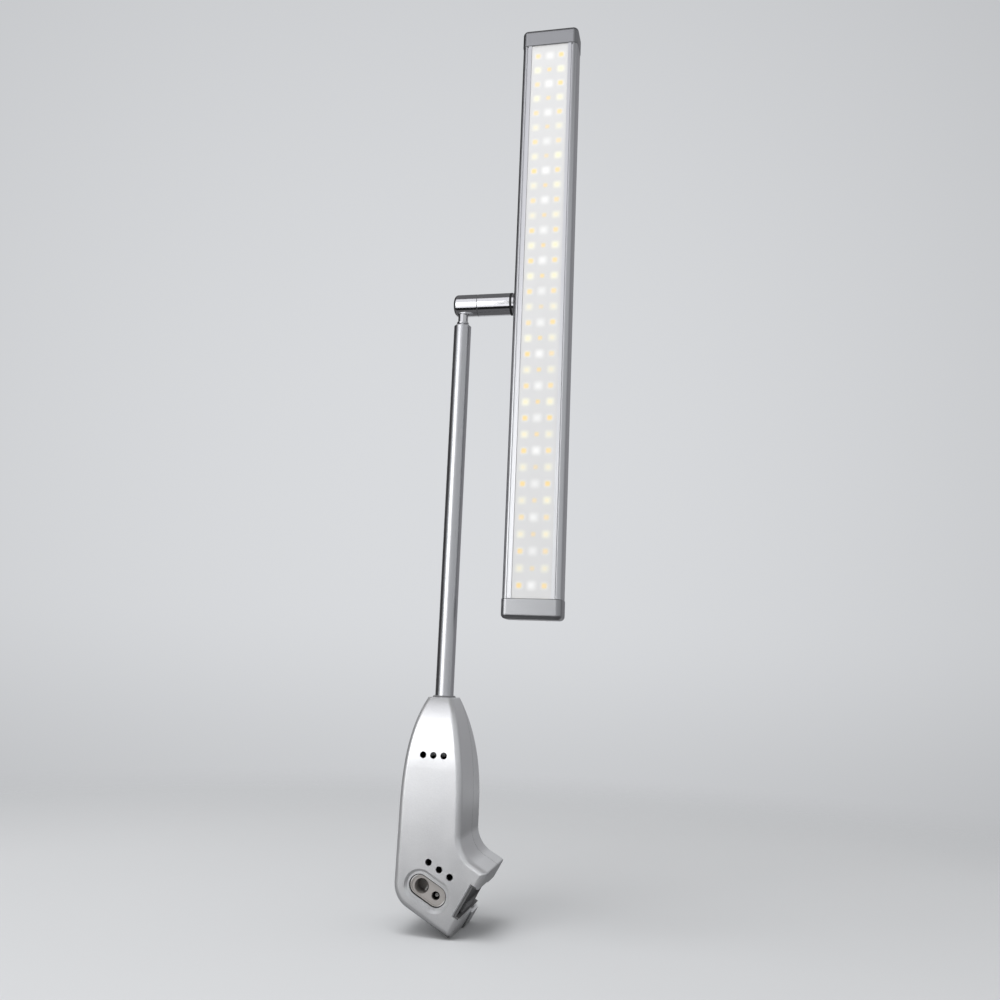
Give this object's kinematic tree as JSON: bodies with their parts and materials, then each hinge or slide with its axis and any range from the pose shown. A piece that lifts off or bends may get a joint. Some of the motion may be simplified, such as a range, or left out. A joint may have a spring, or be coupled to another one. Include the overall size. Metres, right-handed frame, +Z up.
{
  "type": "clip-on display light",
  "caption": "Clip-on display light: a jaw housing with a power inlet, a turning stem, a tilting barrel and a long LED bar head.",
  "frame": {"origin": "the middle of the jaw's seat, where the edge that the light clips on rests", "axes": "+Z up along the stem, +X from the stem towards the head, +Y away from the side that shines"},
  "size_m": [0.0812, 0.044, 0.5156],
  "materials": {
    "housing_paint": "fine silver paint, satin",
    "steel": "zinc plated",
    "dark_plastic": "dark grey, smooth",
    "brass": "turned",
    "inlet_plastic": "warm grey, fine texture",
    "contact": "nickel plated",
    "lead_jacket": "white jacket",
    "circuit_board": "green lacquer",
    "ferrite": "dark ferrite and tape",
    "capacitor_sleeve": "dark sleeve",
    "chip_plastic": "black",
    "terminal_plastic": "white",
    "liner_plastic": "dark grey",
    "latch_plastic": "dark grey, satin",
    "stem_metal": "satin, drawn",
    "rubber": "black",
    "bright_chrome": "polished",
    "washer_plastic": "dark",
    "head_aluminium": "extruded, anodised silver",
    "frosted_lens": "frosted, translucent",
    "led_board_white": "white lacquer",
    "warm_phosphor": "yellow phosphor",
    "cool_phosphor": "pale phosphor",
    "cap_metal": "satin, bright edges"
  },
  "bodies": {
    "base": {"front_casing": "housing_paint", "rear_casing": "housing_paint", "casing_screws": "steel", "stem_collar": "dark_plastic", "stem_bush": "brass", "inlet_body": "inlet_plastic", "inlet_contacts": "contact", "inlet_leads": "lead_jacket", "driver_board": "circuit_board", "board_screws": "steel", "driver_transformer": "ferrite", "driver_capacitors": "capacitor_sleeve", "driver_chips": "chip_plastic", "board_terminals": "terminal_plastic", "output_lead": "lead_jacket", "jaw_liner": "liner_plastic", "latch_cage": "liner_plastic", "latch_spring": "steel"},
    "latch": {"jaw_latch": "latch_plastic"},
    "arm": {"stem_tube": "stem_metal", "stem_clip": "steel", "pan_washers": "steel", "stem_nut": "steel", "stem_grommet": "rubber", "stem_cable": "lead_jacket", "neck_nipple": "bright_chrome", "swivel_knuckle": "bright_chrome", "swivel_axle": "steel", "tilt_washer": "washer_plastic", "tilt_springs": "steel", "axle_nut": "steel"},
    "head": {"swivel_sleeve": "bright_chrome", "barrel_ring": "rubber", "head_bush": "bright_chrome", "head_nut": "steel", "head_cable": "lead_jacket", "board_plug": "terminal_plastic", "head_profile": "head_aluminium", "diffuser": "frosted_lens", "led_board": "led_board_white", "leds_warm": "warm_phosphor", "leds_cool": "cool_phosphor", "top_end_cap": "cap_metal", "bottom_end_cap": "cap_metal", "end_cap_screws": "steel"}
  },
  "joints": [
    {"name": "arm_pan", "type": "hinge", "parent": "base", "child": "arm", "pos_m": [-0.0205, -0.003, 0.1], "axis": [0, 0, 1], "range_deg": [-170, 170]},
    {"name": "head_tilt", "type": "hinge", "parent": "arm", "child": "head", "pos_m": [-0.0115, -0.003, 0.3248], "axis": [1, 0, 0], "range_deg": [-170, 170]},
    {"name": "latch_press", "type": "slide", "parent": "base", "child": "latch", "axis": [-0.8746, 0, 0.4848], "range_m": [0, 0.001], "stiffness_N_per_m": 120, "springref_m": -0.003, "deforming": ["latch_spring"]}
  ]
}
